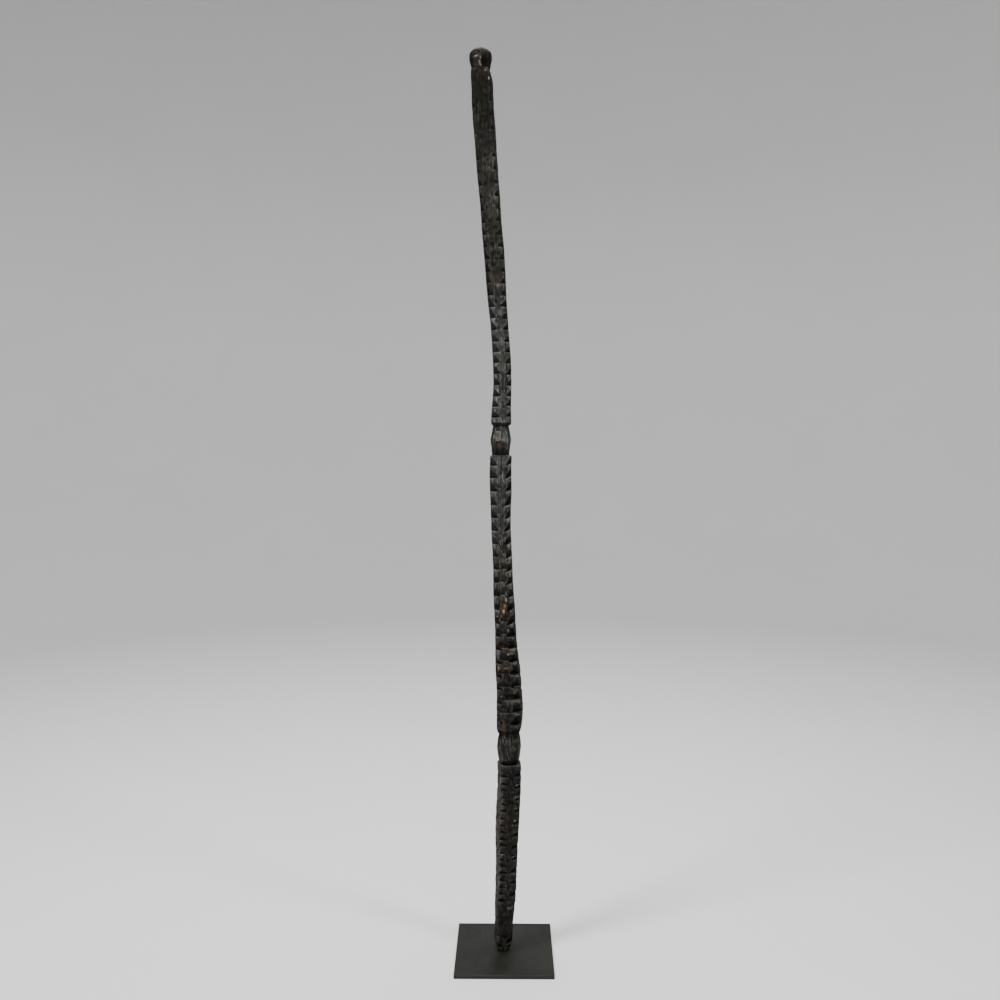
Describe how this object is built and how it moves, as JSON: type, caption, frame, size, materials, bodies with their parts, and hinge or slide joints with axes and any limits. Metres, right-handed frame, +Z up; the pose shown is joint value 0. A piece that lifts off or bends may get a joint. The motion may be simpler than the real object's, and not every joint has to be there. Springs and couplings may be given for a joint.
{
  "type": "carved house post",
  "caption": "Slender, slightly crooked carved wooden house post with notched edges, faceted beads and a ball finial, standing on a square steel plate.",
  "frame": {"origin": "centre of the steel plate's underside, on the floor", "axes": "+Z up along the post, -Y towards the carved front, +X to the viewer's right when facing the front"},
  "size_m": [0.254, 0.254, 2.34],
  "materials": {
    "carved_post": "smoke-darkened bare wood, worn to a satin patina",
    "base_plate": "satin charcoal"
  },
  "bodies": {
    "root": {"carved_post": "carved_post", "base_plate": "base_plate"}
  },
  "joints": []
}
